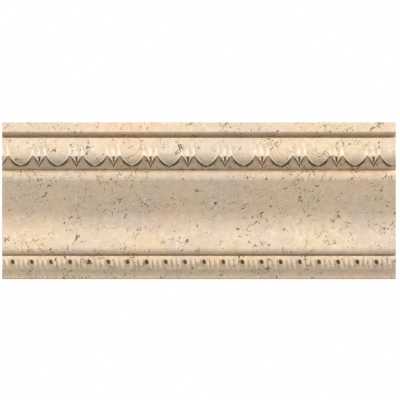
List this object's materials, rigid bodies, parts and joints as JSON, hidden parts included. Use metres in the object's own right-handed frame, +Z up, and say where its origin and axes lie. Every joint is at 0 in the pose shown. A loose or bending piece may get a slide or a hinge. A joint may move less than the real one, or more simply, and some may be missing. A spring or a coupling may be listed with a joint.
{
  "type": "ceiling cornice moulding",
  "caption": "Straight stone cornice length with an egg-and-dart ovolo above a sloping cyma and a bead-and-reel astragal, square-cut ends, flat wall and ceiling faces.",
  "frame": {"origin": "middle of the flat back face that lies against the wall", "axes": "+X along the moulding, -Y out of the wall into the room, +Y into the wall, +Z up to the ceiling"},
  "size_m": [0.3, 0.068, 0.1196],
  "materials": {
    "travertine": "honed cream travertine, soft peach and grey clouding, small open pores, satin"
  },
  "bodies": {
    "root": {"cornice_moulding": "travertine"}
  },
  "joints": []
}
